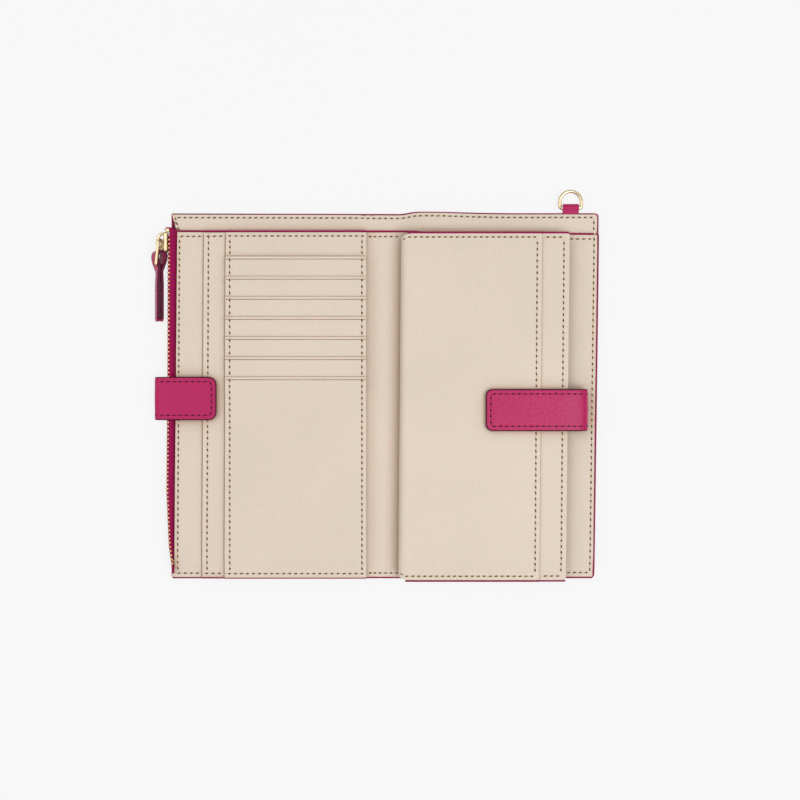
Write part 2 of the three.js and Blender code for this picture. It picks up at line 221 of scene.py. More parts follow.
def leather(name, color, painted_shade_tint, reach=0.007, grain=1500.0, depth=0.00009, roughness=0.48, mottle=0.03,
            specular=0.35):
    """Fine grained leather: small pebbles, faintly uneven colour, and painted shade in its folds.
    reach, in metres, is how far that painted shade spreads from a fold or a raised edge."""
    n = Nodes(name)
    fine = n.noise(900.0, 2.0)
    pale, deep = shade(color, 1 + mottle * 0.5), shade(color, 1 - mottle)
    patches = n.ramp(n.noise(22.0), [(0.3, deep), (0.72, pale)])
    speckle = n.ramp(fine, [(0.35, (0.93, 0.93, 0.93, 1)), (0.62, WHITE)])
    tinted = n.multiply(0.5, patches, speckle)
    # Painted shade: the occlusion darkens the colour in folds and beside raised edges, over the shade the
    # lamps already cast.
    painted_fold_shade = n.ramp(n.occlusion(reach), [(0.38, painted_shade_tint), (1.0, WHITE)])
    tinted = n.multiply(1.0, tinted, painted_fold_shade)
    surface = n.bump(n.cells(grain), 0.35, depth)
    surface = n.bump(n.noise(260.0, 4.0, (1.0, 0.35, 1.0)), 0.2, depth * 2.0, surface)
    rough = n.spread(fine, roughness - 0.06, roughness + 0.1)
    return n.finish(tinted, rough, surface, Specular_IOR_Level=specular)


def edge_paint(name, color):
    n = Nodes(name)
    tint = n.ramp(n.noise(320.0), [(0.3, shade(color, 0.8)), (0.7, color)])
    surface = n.bump(n.noise(700.0, 2.0), 0.3, 0.00006)
    rough = n.spread(n.noise(140.0), 0.42, 0.58)
    return n.finish(tint, rough, surface, Specular_IOR_Level=0.22)


def thread(name, color):
    """Twisted sewing thread: fine slanted strands."""
    n = Nodes(name)
    strands = n.wave(1600.0, "DIAGONAL", 1.0)
    tint = n.ramp(strands, [(0.2, shade(color, 0.75)), (0.8, color)])
    surface = n.bump(strands, 0.5, 0.00005)
    rough = n.spread(n.noise(500.0), 0.6, 0.8)
    return n.finish(tint, rough, surface, Specular_IOR_Level=0.25)


def tape_weave(name, color):
    """Zip tape: close ribs that lean both ways, with a slightly lighter thread on top."""
    n = Nodes(name)
    ribs = n.wave(900.0, "Y", 0.6)
    cords = n.wave(420.0, "DIAGONAL", 0.8)
    height = n.math("ADD", ribs, cords)
    tint = n.ramp(height, [(0.3, shade(color, 0.62)), (1.0, color)])
    surface = n.bump(height, 0.6, 0.00012)
    rough = n.spread(n.noise(300.0), 0.75, 0.92)
    return n.finish(tint, rough, surface, Specular_IOR_Level=0.2)


def lining_cloth(name, color):
    n = Nodes(name)
    weave = n.math("MULTIPLY", n.wave(700.0, "X"), n.wave(700.0, "Y"))
    tint = n.ramp(weave, [(0.0, shade(color, 0.78)), (0.6, color)])
    surface = n.bump(weave, 0.5, 0.00008)
    rough = n.spread(n.noise(200.0), 0.8, 0.95)
    return n.finish(tint, rough, surface, Specular_IOR_Level=0.15)


def plated_metal(name, color, roughness=0.16):
    """Polished plate with painted reflection: pale on faces turned up and down, and a deeper, browner gold
    painted down its sides for the dark room they would mirror.
    """
    n = Nodes(name)
    patches = n.noise(160.0, 3.0)
    tint = n.ramp(patches, [(0.3, shade(color, 0.9)), (0.7, color)])
    split = n.add("ShaderNodeSeparateXYZ")
    n.link(n.add("ShaderNodeTexCoord").outputs["Normal"], split.inputs["Vector"])
    facing_for_painted_reflection = n.math("ABSOLUTE", split.outputs["Z"], 0)
    # Painted reflection: the sides are darkened by the direction they face.
    tint = n.multiply(1.0, tint, n.ramp(facing_for_painted_reflection, [(0.2, (0.40, 0.25, 0.13, 1)), (0.72, WHITE)]))
    scratches = n.noise(1400.0, 2.0, (1.0, 0.15, 1.0))
    surface = n.bump(scratches, 0.12, 0.00002)
    rough = n.spread(patches, roughness - 0.05, roughness + 0.08)
    return n.finish(tint, rough, surface, Metallic=1.0)


def board(name, color):
    n = Nodes(name)
    fibres = n.noise(420.0, 5.0, (1.0, 0.2, 1.0))
    tint = n.ramp(fibres, [(0.3, shade(color, 0.75)), (0.7, color)])
    surface = n.bump(fibres, 0.4, 0.0001)
    rough = n.spread(fibres, 0.8, 0.95)
    return n.finish(tint, rough, surface, Specular_IOR_Level=0.1)


CREAM = srgb(219, 204, 187)
FUCHSIA = srgb(180, 12, 88)

MATERIALS = {
    # After each leather's colour comes the tint of its painted shade in folds and beside raised edges.
    "cream": leather("cream_leather", CREAM, (0.72, 0.53, 0.42, 1)),
    "fuchsia": leather("fuchsia_leather", FUCHSIA, (0.6, 0.4, 0.5, 1), reach=0.0025, grain=1200.0,
                       depth=0.00022, roughness=0.38, mottle=0.1, specular=0.34),
    "paint": edge_paint("edge_paint", srgb(154, 8, 82)),
    "dark_paint_and_shade": edge_paint("dark_edge_paint", srgb(88, 3, 44)),
    "raw_edge_and_shade": edge_paint("raw_leather_edge_and_shade", srgb(150, 112, 84)),
    "crease": edge_paint("heat_crease", srgb(176, 140, 114)),
    # Painted shade: the dark stitch beads stand for the shadow down in the stitch holes.
    "hole_shade": thread("stitch_hole_shade", srgb(112, 76, 42)),
    "thread": thread("cream_thread", srgb(228, 210, 180)),
    "strap_hole_shade": thread("strap_stitch_hole_shade", srgb(74, 4, 36)),
    "strap_thread": thread("strap_thread", srgb(178, 24, 90)),
    "tape": tape_weave("zip_tape_weave", srgb(162, 16, 82)),
    "lining": lining_cloth("lining_weave", srgb(196, 180, 154)),
    "board": board("stiffening_board", srgb(150, 134, 108)),
    "gold": plated_metal("pale_gold_plate", srgb(248, 226, 180)),
    "brass": plated_metal("zip_brass", srgb(250, 212, 150), 0.25),
}

# ---------------------------------------------------------------- mesh helpers


def to_object(name, bm, finish, warp=None):
    """Turns a bmesh in millimetres into a smooth shaded object in metres."""
    for vert in bm.verts:
        place = warp(vert.co) if warp else vert.co
        vert.co = Vector(place) * MM
    for face in bm.faces:
        face.smooth = True
    mesh = bpy.data.meshes.new(name)
    bmesh.ops.recalc_face_normals(bm, faces=bm.faces[:])
    bm.to_mesh(mesh)
    bm.free()
    obj = bpy.data.objects.new(name, mesh)
    bpy.context.scene.collection.objects.link(obj)
    mesh.materials.append(MATERIALS[finish])
    return obj


def add_even_normals(obj):
    modifier = obj.modifiers.new("even_normals", "WEIGHTED_NORMAL")
    modifier.weight = 80
    modifier.keep_sharp = True
    return obj


def lifted_by(height):
    """A warp that raises every point by height(x, y)."""
    return lambda co: (co.x, co.y, co.z + height(co.x, co.y))


def divided(start, end, steps):
    """Evenly spaced points from start towards end, with end itself left out."""
    return [tuple(a + (b - a) * step / steps for a, b in zip(start, end)) for step in range(steps)]


def arc(x, y, radius, start, turn, steps):
    """Points along an arc, both ends included; start and turn are in radians."""
    angles = [start + turn * step / steps for step in range(steps + 1)]
    return [(x + radius * math.cos(angle), y + radius * math.sin(angle)) for angle in angles]


def rounded_outline(corners, steps=6):
    """Points round a polygon whose corners are (x, y, radius)."""
    points = []
    for index, (x, y, radius) in enumerate(corners):
        corner = Vector((x, y))
        before = Vector(corners[index - 1][:2])
        after = Vector(corners[(index + 1) % len(corners)][:2])
        if radius <= 0:
            points.append((x, y))
            continue
        start = corner + (before - corner).normalized() * radius
        end = corner + (after - corner).normalized() * radius
        for step in range(steps + 1):
            t = step / steps
            point = start * (1 - t) ** 2 + corner * 2 * t * (1 - t) + end * t * t
            points.append((point.x, point.y))
    return points


def panel_outline(left, right, low, high, radii=(0, 0, 0, 0), top=None):
    """A four-sided outline with leaning sides; top(x) may bend the upper edge."""
    points = rounded_outline([
        (left[0], low, radii[0]),
        (right[0], low, radii[1]),
        (right[1], high, radii[2]),
        (left[1], high, radii[3]),
    ])
    if top is None:
        return points
    dense = []
    for start, end in zip(points, points[1:] + points[:1]):
        along_top = min(start[1], end[1]) > high - 0.01
        dense += divided(start, end, max(1, int(abs(end[0] - start[0]) / 2)) if along_top else 1)
    return [(x, y + (top(x) - high) * smooth(y, high - 4, high)) for x, y in dense]


def plate(name, outline, under, upper, finish, cuts_x=(), cuts_y=(), edge=0.22, warp=None, open_x=None):
    """A sheet with rounded edges. Cuts add points that warp can bend; the end at open_x stays square."""
    bm = bmesh.new()
    bm.faces.new([bm.verts.new((x, y, upper)) for x, y in outline])
    for axis, cuts in (((1, 0, 0), cuts_x), ((0, 1, 0), cuts_y)):
        for cut in cuts:
            bmesh.ops.bisect_plane(
                bm, geom=bm.verts[:] + bm.edges[:] + bm.faces[:], plane_co=Vector(axis) * cut, plane_no=axis
            )
    grown = bmesh.ops.extrude_face_region(bm, geom=bm.faces[:], use_keep_orig=True)
    for item in grown["geom"]:
        if isinstance(item, bmesh.types.BMVert):
            item.co.z = under
    bmesh.ops.recalc_face_normals(bm, faces=bm.faces[:])
    rounded = []
    for item in bm.edges:
        if len(item.link_faces) != 2 or item.calc_face_angle(0) < 1.2:
            continue
        if abs(item.verts[0].co.z - item.verts[1].co.z) > 1e-6:
            continue
        if open_x is not None and all(abs(vert.co.x - open_x) < 1e-4 for vert in item.verts):
            item.smooth = False
            continue
        rounded.append(item)
    if edge > 0:
        bmesh.ops.bevel(
            bm, geom=rounded, offset=edge, segments=3, profile=0.5, affect="EDGES", clamp_overlap=True
        )
    return add_even_normals(to_object(name, bm, finish, warp))


def skin(bm, rings, closed=False):
    """Joins a row of equal rings, and either closes the row into a loop or caps both its ends."""
    for first, second in zip(rings, rings[1:] + rings[:1] if closed else rings[1:]):
        for index in range(len(first)):
            after = (index + 1) % len(first)
            bm.faces.new((first[index], first[after], second[after], second[index]))
    if not closed:
        bm.faces.new(rings[0])
        bm.faces.new(rings[-1])


def tube(name, points, radius, finish, closed=False, sides=12, squash=1.0, up=(0, 0, 1)):
    """A round or flattened wire along points. squash scales its size along up."""
    points = [Vector(point) for point in points]
    count = len(points)
    up = Vector(up)
    bm = bmesh.new()
    rings = []
    for index, point in enumerate(points):
        if closed:
            ahead, behind = points[(index + 1) % count], points[index - 1]
        else:
            ahead, behind = points[min(index + 1, count - 1)], points[max(index - 1, 0)]
        along = (ahead - behind).normalized()
        side = along.cross(up).normalized()
        lift = side.cross(along).normalized()
        ring = []
        for step in range(sides):
            angle = 2 * math.pi * step / sides
            offset = side * math.cos(angle) * radius + lift * math.sin(angle) * radius * squash
            ring.append(bm.verts.new(point + offset))
        rings.append(ring)
    skin(bm, rings, closed)
    return to_object(name, bm, finish)


def dash_template(sides=8):
    """A small flat-bottomed bead, two units across and about one high."""
    rings = [(1.0, -0.3), (1.0, 0.0), (0.75, 0.6), (0.3, 0.95)]
    verts = []
    for reach, height in rings:
        for step in range(sides):
            angle = 2 * math.pi * step / sides
            verts.append((math.cos(angle) * reach, math.sin(angle) * reach, height))
    faces = []
    for ring in range(len(rings) - 1):
        for step in range(sides):
            after = (step + 1) % sides
            low, high = ring * sides, (ring + 1) * sides
            faces.append((low + step, low + after, high + after, high + step))
    faces.append(tuple(range((len(rings) - 1) * sides, len(rings) * sides)))
    faces.append(tuple(reversed(range(sides))))
    return verts, faces


def dashes(name, places, length, width, height, finish):
    """Many little beads in one mesh. places holds (centre, along, up)."""
    template, template_faces = dash_template()
    bm = bmesh.new()
    for centre, along, up in places:
        along = Vector(along).normalized()
        up = Vector(up).normalized()
        side = up.cross(along).normalized()
        centre = Vector(centre)
        verts = [
            bm.verts.new(centre + along * (x * length / 2) + side * (y * width / 2) + up * (z * height))
            for x, y, z in template
        ]
        for face in template_faces:
            bm.faces.new([verts[index] for index in face])
    return to_object(name, bm, finish)


def along_path(points, pitch, start=0.5):
    """Evenly spaced (centre, direction) along a polyline; the first sits start pitches in."""
    points = [Vector(point) for point in points]
    lengths = [(b - a).length for a, b in zip(points, points[1:])]
    total = sum(lengths)
    count = max(1, round(total / pitch))
    step = total / count
    spots = []
    for index in range(count):
        target = (index + start) * step
        if target > total:
            break
        walked = 0.0
        for (a, b), length in zip(zip(points, points[1:]), lengths):
            if walked + length >= target or (a, b) == (points[-2], points[-1]):
                t = (target - walked) / length
                spots.append((a.lerp(b, t), (b - a).normalized()))
                break
            walked += length
    return spots


def slanted(along, up, angle):
    """A direction turned a little within the surface, as each stitch lies slightly across its seam."""
    along = Vector(along).normalized()
    side = Vector(up).cross(along)
    return along * math.cos(angle) + side * math.sin(angle)


def sew(name, lines, place, pitch=2.68):
    """Stitches along lines: dark beads painted as the shade in the stitch holes, with the pale thread showing
    between them.
    """
    up = Vector((0, 0, 1))
    dark, pale = [], []
    for line in lines:
        dark += [(point, slanted(along, up, 0.16), up) for point, along in along_path(line, pitch, 0.5)]
        pale += [(point, along, up) for point, along in along_path(line, pitch, 0.0)]
    place(dashes(name + "_holes", dark, 1.5, 0.76, 0.08, "hole_shade"))
    place(dashes(name + "_thread", pale, 1.75, 0.5, 0.15, "thread"))


def riding(body):
    """A placing function for pieces that simply ride on one body."""
    return lambda obj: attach(obj, body)


def bend_left(obj):
    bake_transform(obj)


def bend_right(obj):
    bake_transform(obj)


def keep(node, finish):
    """Gives a CAD node that stays in view its material."""
    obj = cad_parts[node]
    obj.data.materials.clear()
    obj.data.materials.append(MATERIALS[finish])


# ---------------------------------------------------------------- cover and inner panels

FOLD_CUTS_LEFT = [-FOLD + FOLD_REACH * 1.6 * step / 6 for step in range(-6, 7)]
FOLD_CUTS_RIGHT = [-cut for cut in FOLD_CUTS_LEFT]
WAVE_CUTS = [12 + step * 1.1 for step in range(17)] + [32 + step * 3 for step in range(8)]
BAND_ROWS = [60 + 1.5 * step for step in range(16)]
SEAM_ROWS = [BOTTOM + 2.4 + step for step in range(9)] + [BASE_TOP_LEFT - 8 + step for step in range(7)]
SIDE_POINTS = [72.6, 70, 67.5, 65, 0] + [BOTTOM + step for step in (10.5, 8.5, 6.5, 4.5, 2.5, 0.8)]
EDGE_PAINT = 0.35  # how far the leather's face stops short of its painted edge
COVER_SHARE = 0.5  # how much of the rim's rise the cover itself takes part in


def wave(x, y):
    """The upper rim tilts up a little all along, with a soft dip and rise beside the spine."""
    dip = -0.7 * math.exp(-((x - 10.5) / 4.2) ** 2)
    rise = 1.2 * smooth(x, 9, 20) * (1 - smooth(x, 22, 50))
    return 0.35 * smooth(y, 72, 82) + smooth(y, 60, 80) * (dip + rise)


def cover_lift(x, y):
    return max(0.0, wave(x, y)) * COVER_SHARE


def sag(y, low, high):
    """Soft leather stands a little higher between its sewn ends than along them."""
    return -0.7 * (1 - smooth(y, low + 2.4, low + 11)) - 0.25 * smooth(y, high - 8, high - 2)


def board_sag(y):
    return sag(y, BOTTOM, BASE_TOP_LEFT)


def over_boards(spine, left, right, x):
    """A layer's height: low over the spine, higher on both boards."""
    return spine + (left - spine) * smooth(-x, 4.5, 10.5) + (right - spine) * smooth(x, 4.5, 10.5)


def base_height(x):
    return over_boards(Z_BASE_SPINE, Z_BASE_LEFT, Z_BASE_RIGHT, x)


def base_sag(x, y):
    return board_sag(y) * smooth(abs(x), 5, 11)


def wall_height(x):
    return over_boards(Z_WALL_SPINE, Z_WALL_LEFT, Z_WALL_RIGHT, x)


def base_top(x):
    """Upper edge of the base panel, which drops a little from left to right."""
    return float(np.interp(x, (-93, -45, -13, -6, 8, 85, 96), (74.45, 74.1, 74.1, 74.4, 74.4, 73.3, 73.2)))


def build_halves(name, halves, under, upper, finish, rows, edge, warp):
    """A panel in two halves that meet in the middle of the spine, each with finer cuts at its own fold line.
    """
    for (side, bend), (outline, cuts, nodes) in zip((("left", bend_left), ("right", bend_right)), halves):
        piece = plate(f"{name}_{side}_leather", outline, under, upper, finish, cuts, rows, edge, warp, 0)
        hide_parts(*nodes)
        bend(piece)


def build_cover():
    half_left = panel_outline(COVER_LEFT, (0, 0), BOTTOM, COVER_TOP, (1.2, 0, 0, 0.8), rim)
    half_right = panel_outline((0, 0), COVER_RIGHT, BOTTOM, COVER_TOP, (0, 1.5, 1.8, 0), rim)

    halves = (
        (half_left, FOLD_CUTS_LEFT, ("cover_left", "cover_spine")),
        (half_right, FOLD_CUTS_RIGHT + WAVE_CUTS, ("cover_right",)),
    )
    build_halves("cover", halves, 0, Z_COVER, "fuchsia", BAND_ROWS, 0.4, lifted_by(cover_lift))


def build_back_wall():
    """The bill pocket's rear wall, whose upper part is the cream band."""
    inset = 0.75
    low, high = BOTTOM + 0.55, COVER_TOP - inset

    def top(x):
        return rim(x) - inset

    raised = lifted_by(lambda x, y: wall_height(x) - Z_WALL_LEFT + wave(x, y))
    left = [(-92.6, low), (0, low), (0, top(0)), (-95.2, top(-95.2)), (-93.1, 74.0), (-93.1, 60)]
    right_edge = (COVER_RIGHT[0] - inset, COVER_RIGHT[1] - inset - 0.1)
    right = panel_outline((0, 0), right_edge, low, high, (0, 1.2, 1.5, 0), top)
    halves = (
        (left, FOLD_CUTS_LEFT + [-92.5, -91], ("back_wall_left", "back_wall_spine")),
        (right, FOLD_CUTS_RIGHT + WAVE_CUTS, ("back_wall_right",)),
    )
    build_halves("back_wall", halves, Z_WALL_LEFT - 0.55, Z_WALL_LEFT, "cream", BAND_ROWS, 0.15, raised)


def build_base_panel():
    raised = lifted_by(lambda x, y: base_height(x) - Z_BASE_LEFT + base_sag(x, y))

    def with_top(points):
        return [(x, base_top(x) - EDGE_PAINT if y > 0 else y) for x, y in points]

    low = BOTTOM + EDGE_PAINT
    right_edge = (COVER_RIGHT[0] - 0.75, 97.1)
    left = [(BASE_LEFT[0] - 1.0, low), (0, low), (0, 70)] + [(-10.0 * step, 70) for step in range(1, 9)]
    left += [(BASE_LEFT[1], 70), (BASE_LEFT[0], low + 2.6), (BASE_LEFT[0] - 1.1, low + 1.7)]
    right = [(0, 70), (0, low)]
    right += rounded_outline([(80, low, 0), (right_edge[0], low, 1.2), (right_edge[1], 70, 0)])
    right += [(10.0 * step, 70) for step in range(9, 0, -1)]
    halves = (
        (with_top(left), FOLD_CUTS_LEFT, ("base_panel_left", "base_panel_spine")),
        (with_top(right), FOLD_CUTS_RIGHT, ("base_panel_right",)),
    )
    build_halves("base", halves, Z_BASE_LEFT - 0.65, Z_BASE_LEFT, "cream", SEAM_ROWS, 0.2, raised)


def build_slips():
    sagged = lifted_by(lambda x, y: board_sag(y))
    low, high = BOTTOM + EDGE_PAINT, PANEL_TOP - EDGE_PAINT
    for name, edge, upper, node in (
        ("slip_leather", SLIP_LEFT, Z_SLIP, "slip_panel"),
        ("card_leather", CARD_LEFT, Z_CARD, "card_panel"),
    ):
        outline = panel_outline(edge, (CARD_RIGHT, CARD_RIGHT), low, high, (0.3, 0.3, 0.3, 0.3))
        piece = plate(name, outline, upper - 0.5, upper, "cream", (), SEAM_ROWS, 0.2, sagged)
        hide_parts(node)
        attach(piece, "left_panel")
        # A dark line down each slip's side: the leather's edge colour with painted shade beside it.
        side = [(lean(edge, y) + 0.05, y, upper + board_sag(y) - 0.22) for y in SIDE_POINTS]
        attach(tube(f"{name}_side", side, 0.2, "raw_edge_and_shade", squash=1.2), "left_panel")


SLOT_COUNT = 7
SLOT_FIRST = 62.7
SLOT_PITCH = 9.04
SLOT_TUCK = 3.0
SLOT_LIFT = 0.6


def slot_mouth(index):
    return SLOT_FIRST - index * SLOT_PITCH


def slot_height(index, y):
    """Upper face of a slot ply: highest at its mouth, tucked under the next one at its foot."""
    mouth = slot_mouth(index)
    foot = mouth - SLOT_PITCH - SLOT_TUCK
    lift = SLOT_LIFT * max(0.0, (y - foot) / (mouth - foot))
    return Z_CARD + 0.45 + lift + board_sag(y)


def slot_sides(y):
    return lean(CARD_LEFT, y) + 0.12, CARD_RIGHT - 0.12


def build_card_slots():
    for index in range(SLOT_COUNT):
        mouth = slot_mouth(index)
        foot = mouth - SLOT_PITCH - SLOT_TUCK
        last = index == SLOT_COUNT - 1
        low = BOTTOM + EDGE_PAINT if last else foot
        tilted = lifted_by(lambda x, y, index=index: slot_height(index, y))
        (low_left, low_right), (left, right) = slot_sides(low), slot_sides(mouth)
        outline = [(low_left, low), (low_right, low), (right, mouth), (left, mouth)]
        rows = [foot] + SEAM_ROWS if last else []
        ply = plate(f"card_slot_{index + 1}_leather", outline, -0.4, 0.0, "cream", (), rows, 0.14, tilted)
        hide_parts(f"card_slot_{index + 1}")
        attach(ply, "left_panel")
        # The crease is the heat-pressed line below each mouth; the lip is a dark line along the mouth itself,
        # its cut edge with painted shade under it.
        for key, drop, sink, radius in (("crease", 1.25, 0.1, 0.22), ("lip", 0.02, 0.3, 0.16)):
            y = mouth - drop
            line = [(x, y, slot_height(index, y) - sink) for x in (left + 0.3, right - 0.3)]
            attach(tube(f"slot_{key}_{index + 1}", line, radius, "crease", squash=0.8), "left_panel")


def painted_edge(name, points, place, radius=0.4, squash=1.3):
    """A bead of edge paint, with closer points near the fold lines."""
    dense = []
    for start, end in zip(points, points[1:]):
        near_fold = min(abs(start[0]), abs(end[0])) < 13
        dense += divided(start, end, max(1, int(abs(end[0] - start[0]) / 0.8)) if near_fold else 1)
    dense.append(points[-1])
    place(tube(name, dense, radius, "paint", squash=squash, sides=10))


def paint_cover_edges():
    def at_rim(x):
        return (x, rim(x) - 0.3, 0.9 + cover_lift(x, 82.0))

    z = 0.8
    low = BOTTOM + 0.2
    left = [at_rim(x) for x in (-95.0, -80, -60, -40, -20, -13, 0)]
    right = [at_rim(x) for x in [0] + [4 + 2.0 * step for step in range(24)] + [60, 80, 95.6]]
    right += [(97.3, 81.6, z), (97.6, 80.2, z)]
    right += [(lean(COVER_RIGHT, y) - 0.25, y, z) for y in (40, 0, -40, -78, -80.6)]
    right += [(95.0, -82.0, z), (94.0, low, z), (60, low, z), (13, low, z), (0, low, z)]
    painted_edge("cover_paint_left", left, bend_left, 0.36, 1.7)
    painted_edge("cover_paint_right", right, bend_right, 0.36, 1.7)
    painted_edge("cover_paint_bottom", [(x, low, z) for x in (-94.6, -60, -13, 0)], bend_left, 0.36, 1.7)


def paint_panel_edges():
    def base_edge(x, y):
        return (x, y, base_height(x) + base_sag(x, y) - 0.3)

    low = BOTTOM + 0.3
    top_left = [base_edge(x, base_top(x) - 0.1) for x in (BASE_LEFT[1] + 0.2, -60, -45, -20, -13, -6, 0)]
    painted_edge("base_paint_top_left", top_left, bend_left, 0.48)
    top_right = [base_edge(x, base_top(x) - 0.1) for x in (0, 8, 13, 40, 60, 80, 95.4)]
    painted_edge("base_paint_top_right", top_right, bend_right, 0.48)
    corner = [base_edge(x, base_top(x) - 0.1) for x in (96.5, 97.3)]
    painted_edge("base_paint_top_corner", corner, bend_right, 0.45)
    side = [base_edge(lean(COVER_RIGHT, y) - 0.42, y) for y in (72.8, 40, 0, -40, -75, -81)]
    side += [base_edge(x, low) for x in (94.6, 80, 60, 40, 13, 0)]
    painted_edge("base_paint_side", side, bend_right, 0.42, 1.4)
    painted_edge("base_paint_bottom", [base_edge(x, low) for x in (-95.0, -60, -13, 0)], bend_left, 0.36, 1.4)

    ride = riding("left_panel")
    for name, edge, z in (("slip", SLIP_LEFT, Z_SLIP), ("card", CARD_LEFT, Z_CARD)):
        top = [(x, base_top(x) - 0.12, z - 0.45) for x in (edge[1] + 0.15, CARD_RIGHT - 0.1)]
        painted_edge(f"{name}_paint_top", top, ride)
        foot = [(x, low, z - 0.6) for x in (edge[0] + 0.15, CARD_RIGHT - 0.1)]
        painted_edge(f"{name}_paint_bottom", foot, ride, 0.3, 2.0)


# ---------------------------------------------------------------- leaf

ROLL = 3.0  # radius over which the leaf's front leather turns down at its sewn side
QUARTER = ROLL * math.pi / 2
LEAF_WALL = 3.3  # how far that leather goes straight down to the base panel


def leaf_drape(co):
    """Lays a point of the front leather: flat, then over the roll and down to the base panel.
    co.x is measured along the leather from where the roll begins."""
    reach = ROLL - (Z_LEAF_FRONT - co.z)
    turn = min(math.pi / 2, max(0.0, -co.x / ROLL))
    down = max(0.0, -co.x - QUARTER)
    x = lean(LEAF_LEFT, co.y) + ROLL + max(0.0, co.x) - reach * math.sin(turn)
    z = Z_LEAF_FRONT - ROLL + reach * math.cos(turn) - down
    return (x, co.y, z + leaf_sag(co.y) * math.cos(turn))


def leaf_sag(y):
    return 0.8 * sag(y, LEAF_BOTTOM, LEAF_TOP)


def build_leaf():
    low, high = LEAF_BOTTOM + EDGE_PAINT, LEAF_TOP - EDGE_PAINT
    rows = [low + 2 + step for step in range(9)] + [high - 8 + step for step in range(8)] + [-60, -30, 0, 30]
    end = -(QUARTER + LEAF_WALL)
    flat_right = [LEAF_FRONT_RIGHT[side] - LEAF_LEFT[side] - ROLL for side in (0, 1)]
    outline = rounded_outline([
        (end, low + 3.4, 0.4), (-4.4, low + 1.9, 1.5), (0.4, low, 1.8), (flat_right[0], low, 0.8),
        (flat_right[1], high, 0.8), (0.4, high, 1.8), (-4.4, high - 1.9, 1.5), (end, high - 3.4, 0.4),
    ])
    cuts = [end + (0.5 - end) * step / 18 for step in range(1, 19)] + [14, 30, 45]
    under = Z_LEAF_FRONT - 0.5
    front = plate("leaf_front_leather", outline, under, Z_LEAF_FRONT, "cream", cuts, rows, 0.2, leaf_drape)
    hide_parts("leaf_front", "leaf_roll", "gusset_left")
    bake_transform(front)

    risen = lifted_by(lambda x, y: leaf_sag(y))
    inner_left = [x + ROLL + 0.2 for x in LEAF_LEFT]
    for name, z, node, finish in (
        ("leaf_middle_leather", Z_LEAF_MIDDLE, "leaf_middle", "cream"),
        ("leaf_back_cloth", Z_LEAF_BACK, "leaf_back", "lining"),
    ):
        outline = panel_outline(inner_left, LEAF_MIDDLE_RIGHT, low, high, (1.0, 0.8, 0.8, 1.0))
        piece = plate(name, outline, z - 0.5, z, finish, (), rows, 0.2, risen)
        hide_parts(node)
        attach(piece, "leaf")

    ride = riding("leaf")
    for name, right, z in (
        ("front", LEAF_FRONT_RIGHT, Z_LEAF_FRONT),
        ("middle", LEAF_MIDDLE_RIGHT, Z_LEAF_MIDDLE),
    ):
        for side, y, x0, x1, radius in (
            ("top", LEAF_TOP, LEAF_LEFT[1] + 3.0, right[1] - 0.2, 0.46),
            ("bottom", LEAF_BOTTOM, LEAF_LEFT[0] + 3.2, right[0] - 0.2, 0.38),
        ):
            outward = math.copysign(0.1, y)
            edge_z = z - 0.32 + leaf_sag(y)
            points = [(x0, y + outward, edge_z), (x1, y + outward, edge_z)]
            painted_edge(f"leaf_paint_{side}_{name}", points, ride, radius, 1.2)


def build_gussets():
    """Cloth walls folded inwards, which close the phone compartment's ends and let the leaf lift."""
    steps = 12
    low_z, high_z = Z_BASE_RIGHT + 0.15, Z_LEAF_BACK - 0.65
    for name, y, inward in (("gusset_top", LEAF_TOP - 1.5, -1), ("gusset_bottom", BOTTOM + 1.0, 1)):
        bm = bmesh.new()
        rows = []
        for step in range(steps + 1):
            t = step / steps
            fold = inward * 1.9 * math.sin(math.pi * t) ** 0.7
            z = low_z + (high_z - low_z) * t
            rows.append([bm.verts.new((x, y + fold, z)) for x in (10.6, 25, 40, 55, 70, 80.5)])
        for first, second in zip(rows, rows[1:]):
            for a, b, c, d in zip(first, first[1:], second[1:], second):
                bm.faces.new((a, b, c, d))
        cloth = to_object(f"{name}_cloth", bm, "lining")
        cloth.modifiers.new("thickness", "SOLIDIFY").thickness = 0.0004
        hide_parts(name)
        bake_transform(cloth)


# ---------------------------------------------------------------- straps

def smooth_curve(points, steps=10):
    """A smooth curve through the given (x, z) points."""
    padded = [points[0]] + list(points) + [points[-1]]
    curve = []
    for a, b, c, d in zip(padded, padded[1:], padded[2:], padded[3:]):
        a, b, c, d = Vector(a), Vector(b), Vector(c), Vector(d)
        for step in range(steps):
            t = step / steps
            curve.append(0.5 * (2 * b + (c - a) * t + (2 * a - 5 * b + 4 * c - d) * t ** 2
                                + (3 * b - a - 3 * c + d) * t ** 3))
    return curve + [Vector(points[-1])]


class Lay:
    """The line that a strap's inner face follows in X and Z. side turns its normal to the outer face."""

    def __init__(self, points, side):
        curve = smooth_curve(points)
        self.side = side
        self.xs = [point.x for point in curve]
        self.zs = [point.y for point in curve]
        steps = [(b - a).length for a, b in zip(curve, curve[1:])]
        self.distances = [0.0] + list(np.cumsum(steps))
        self.length = self.distances[-1]

    def point(self, s):
        return Vector((np.interp(s, self.distances, self.xs), 0, np.interp(s, self.distances, self.zs)))

    def at(self, s):
        """The point at a distance along, the direction there and the outward normal."""
        along = (self.point(min(s + 0.2, self.length)) - self.point(max(s - 0.2, 0.0))).normalized()
        return self.point(s), along, Vector((-along.z, 0, along.x)) * self.side


def strap_outline(length, low, high, tip, inset=0.0):
    return rounded_outline([
        (0.0, low + inset, 0), (length - inset, low + inset, tip),
        (length - inset, high - inset, tip), (0.0, high - inset, 0),
    ], 8)


